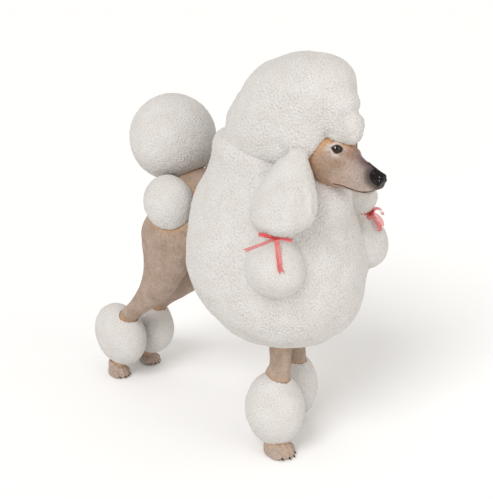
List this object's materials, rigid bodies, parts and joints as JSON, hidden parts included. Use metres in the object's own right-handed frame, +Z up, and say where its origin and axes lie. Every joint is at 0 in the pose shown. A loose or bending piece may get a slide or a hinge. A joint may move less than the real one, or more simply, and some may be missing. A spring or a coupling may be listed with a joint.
{
  "type": "poodle figurine",
  "caption": "Standing poodle statue in the continental clip: white curly coat, shaved taupe face, legs and rump, ribbons on the ears.",
  "frame": {"origin": "middle of the bounding box, on the surface that the soles stand on", "axes": "+Z up, the dog faces -Y, its right side is -X"},
  "size_m": [0.23, 0.478, 0.507],
  "materials": {
    "coat_white": "matte off-white paint over a finely curled surface",
    "skin_taupe": "matte mottled taupe paint with fine incised hair, black gloss on the nose",
    "eye_glass": "polished dark brown glass",
    "ribbon_organza": "sheer red organza"
  },
  "bodies": {
    "root": {"mane_shell": "coat_white", "topknot": "coat_white", "head": "skin_taupe", "hindquarters": "skin_taupe", "tail_pompon": "coat_white", "right_eye": "eye_glass", "right_ear": "coat_white", "right_ear_ribbon": "ribbon_organza", "right_hip_rosette": "coat_white", "right_hind_leg": "skin_taupe", "right_hind_bracelet": "coat_white", "right_hind_paw": "skin_taupe", "right_fore_leg": "skin_taupe", "right_fore_bracelet": "coat_white", "right_fore_paw": "skin_taupe", "left_eye": "eye_glass", "left_ear": "coat_white", "left_ear_ribbon": "ribbon_organza", "left_hip_rosette": "coat_white", "left_hind_leg": "skin_taupe", "left_hind_bracelet": "coat_white", "left_hind_paw": "skin_taupe", "left_fore_leg": "skin_taupe", "left_fore_bracelet": "coat_white", "left_fore_paw": "skin_taupe"}
  },
  "joints": []
}
